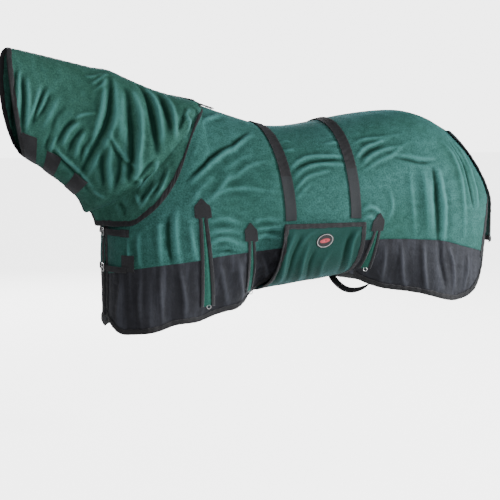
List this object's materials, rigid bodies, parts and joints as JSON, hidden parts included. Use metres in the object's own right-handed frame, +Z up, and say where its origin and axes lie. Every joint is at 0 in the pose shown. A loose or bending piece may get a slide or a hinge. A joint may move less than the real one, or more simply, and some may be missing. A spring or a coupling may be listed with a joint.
{
  "type": "turnout rug",
  "caption": "Light mesh turnout rug for a horse with a fixed neck cover, belly wrap, tail flap, chest straps and leg gussets, shaped as it is worn.",
  "frame": {"origin": "the middle of the horse's back just behind the withers, under the cloth, where the rug rests", "axes": "+X towards the tail, +Y to the horse's right side, +Z up; the head end is at -X"},
  "size_m": [2.3217, 0.7154, 1.2172],
  "materials": {
    "green_mesh": "fine knitted mesh with a soft sheen, dark to lit teal green",
    "skirt_mesh": "fine black mesh, slightly sheer",
    "insert_cloth": "plain green-grey lining cloth in the leg gussets",
    "binding": "black woven binding tape",
    "webbing": "flat woven black webbing",
    "touch_tape": "black hook-and-loop touch tape",
    "patch": "plain woven oval patch with a stitched rim",
    "ring_metal": "plated steel hardware"
  },
  "bodies": {
    "rug": {"back_strap_front": "webbing", "back_strap_rear": "webbing", "belly_strap": "webbing", "bib_binding_left": "binding", "bib_binding_right": "binding", "body_panel_left": "green_mesh", "body_panel_right": "green_mesh", "chest_billet_lower": "webbing", "chest_billet_upper": "webbing", "chest_buckle_lower": "ring_metal", "chest_buckle_upper": "ring_metal", "chest_patch_lower": "touch_tape", "chest_patch_upper": "touch_tape", "chest_strap_lower": "webbing", "chest_strap_upper": "webbing", "crest_tape": "binding", "front_binding_left": "binding", "front_binding_right": "binding", "gusset_insert_left_1": "insert_cloth", "gusset_insert_left_2": "insert_cloth", "gusset_insert_left_3": "insert_cloth", "gusset_insert_right_1": "insert_cloth", "gusset_insert_right_2": "insert_cloth", "gusset_insert_right_3": "insert_cloth", "gusset_tape_left_1": "binding", "gusset_tape_left_2": "binding", "gusset_tape_left_3": "binding", "gusset_tape_right_1": "binding", "gusset_tape_right_2": "binding", "gusset_tape_right_3": "binding", "hem_binding_left": "binding", "hem_binding_right": "binding", "neck_cover_left": "green_mesh", "neck_cover_right": "green_mesh", "poll_binding": "binding", "rear_binding_left": "binding", "rear_binding_right": "binding", "skirt_panel_left": "skirt_mesh", "skirt_panel_right": "skirt_mesh", "throat_binding_left": "binding", "throat_binding_right": "binding", "throat_patch_1": "touch_tape", "throat_patch_2": "touch_tape", "throat_patch_3": "touch_tape"},
    "tail_flap": {"tail_flap": "green_mesh", "tail_flap_binding": "binding"},
    "belly_wrap": {"belly_wrap_panel": "green_mesh", "belly_wrap_binding": "binding", "belly_wrap_badge": "patch"},
    "throat_tab_1": {"throat_tab_1": "touch_tape"},
    "throat_tab_2": {"throat_tab_2": "touch_tape"},
    "throat_tab_3": {"throat_tab_3": "touch_tape"},
    "chest_prong_upper": {"chest_prong_upper": "ring_metal"},
    "chest_prong_lower": {"chest_prong_lower": "ring_metal"},
    "gusset_ring_left_1": {"gusset_ring_left_1": "ring_metal"},
    "gusset_ring_left_2": {"gusset_ring_left_2": "ring_metal"},
    "gusset_ring_left_3": {"gusset_ring_left_3": "ring_metal"},
    "gusset_ring_right_1": {"gusset_ring_right_1": "ring_metal"},
    "gusset_ring_right_2": {"gusset_ring_right_2": "ring_metal"},
    "gusset_ring_right_3": {"gusset_ring_right_3": "ring_metal"}
  },
  "joints": [
    {"name": "tail_flap_lift", "type": "hinge", "parent": "rug", "child": "tail_flap", "pos_m": [1.15, 0, -0.088], "axis": [0, -1, 0], "range_deg": [0, 95]},
    {"name": "belly_wrap_open", "type": "hinge", "parent": "rug", "child": "belly_wrap", "pos_m": [0.38, 0.352, -0.485], "axis": [1, 0, 0], "range_deg": [0, 60]},
    {"name": "throat_tab_1_open", "type": "hinge", "parent": "rug", "child": "throat_tab_1", "pos_m": [-0.66728, -0.0006, -0.33946], "axis": [0.7771, 0, -0.6294], "range_deg": [0, 120]},
    {"name": "throat_tab_2_open", "type": "hinge", "parent": "rug", "child": "throat_tab_2", "pos_m": [-0.76131, -0.0006, -0.26329], "axis": [0.7963, 0, -0.6049], "range_deg": [0, 120]},
    {"name": "throat_tab_3_open", "type": "hinge", "parent": "rug", "child": "throat_tab_3", "pos_m": [-0.83217, -0.0006, -0.2142], "axis": [0.822, 0, -0.5695], "range_deg": [0, 120]},
    {"name": "chest_prong_upper_swing", "type": "hinge", "parent": "rug", "child": "chest_prong_upper", "pos_m": [-0.5253, -0.0155, -0.516], "axis": [0, 0, 1], "range_deg": [0, 110]},
    {"name": "chest_prong_lower_swing", "type": "hinge", "parent": "rug", "child": "chest_prong_lower", "pos_m": [-0.5253, -0.0155, -0.672], "axis": [0, 0, 1], "range_deg": [0, 110]},
    {"name": "gusset_ring_left_1_swing", "type": "hinge", "parent": "rug", "child": "gusset_ring_left_1", "pos_m": [-0.12807, -0.26354, -0.82662], "axis": [-1, 0, 0], "range_deg": [0, 70]},
    {"name": "gusset_ring_left_2_swing", "type": "hinge", "parent": "rug", "child": "gusset_ring_left_2", "pos_m": [0.08541, -0.21097, -0.77833], "axis": [-1, 0, 0], "range_deg": [0, 70]},
    {"name": "gusset_ring_left_3_swing", "type": "hinge", "parent": "rug", "child": "gusset_ring_left_3", "pos_m": [0.61165, -0.2668, -0.69393], "axis": [-1, 0, 0], "range_deg": [0, 70]},
    {"name": "gusset_ring_right_1_swing", "type": "hinge", "parent": "rug", "child": "gusset_ring_right_1", "pos_m": [-0.12807, 0.26354, -0.82662], "axis": [1, 0, 0], "range_deg": [0, 70]},
    {"name": "gusset_ring_right_2_swing", "type": "hinge", "parent": "rug", "child": "gusset_ring_right_2", "pos_m": [0.08541, 0.21097, -0.77833], "axis": [1, 0, 0], "range_deg": [0, 70]},
    {"name": "gusset_ring_right_3_swing", "type": "hinge", "parent": "rug", "child": "gusset_ring_right_3", "pos_m": [0.61165, 0.2668, -0.69393], "axis": [1, 0, 0], "range_deg": [0, 70]}
  ]
}
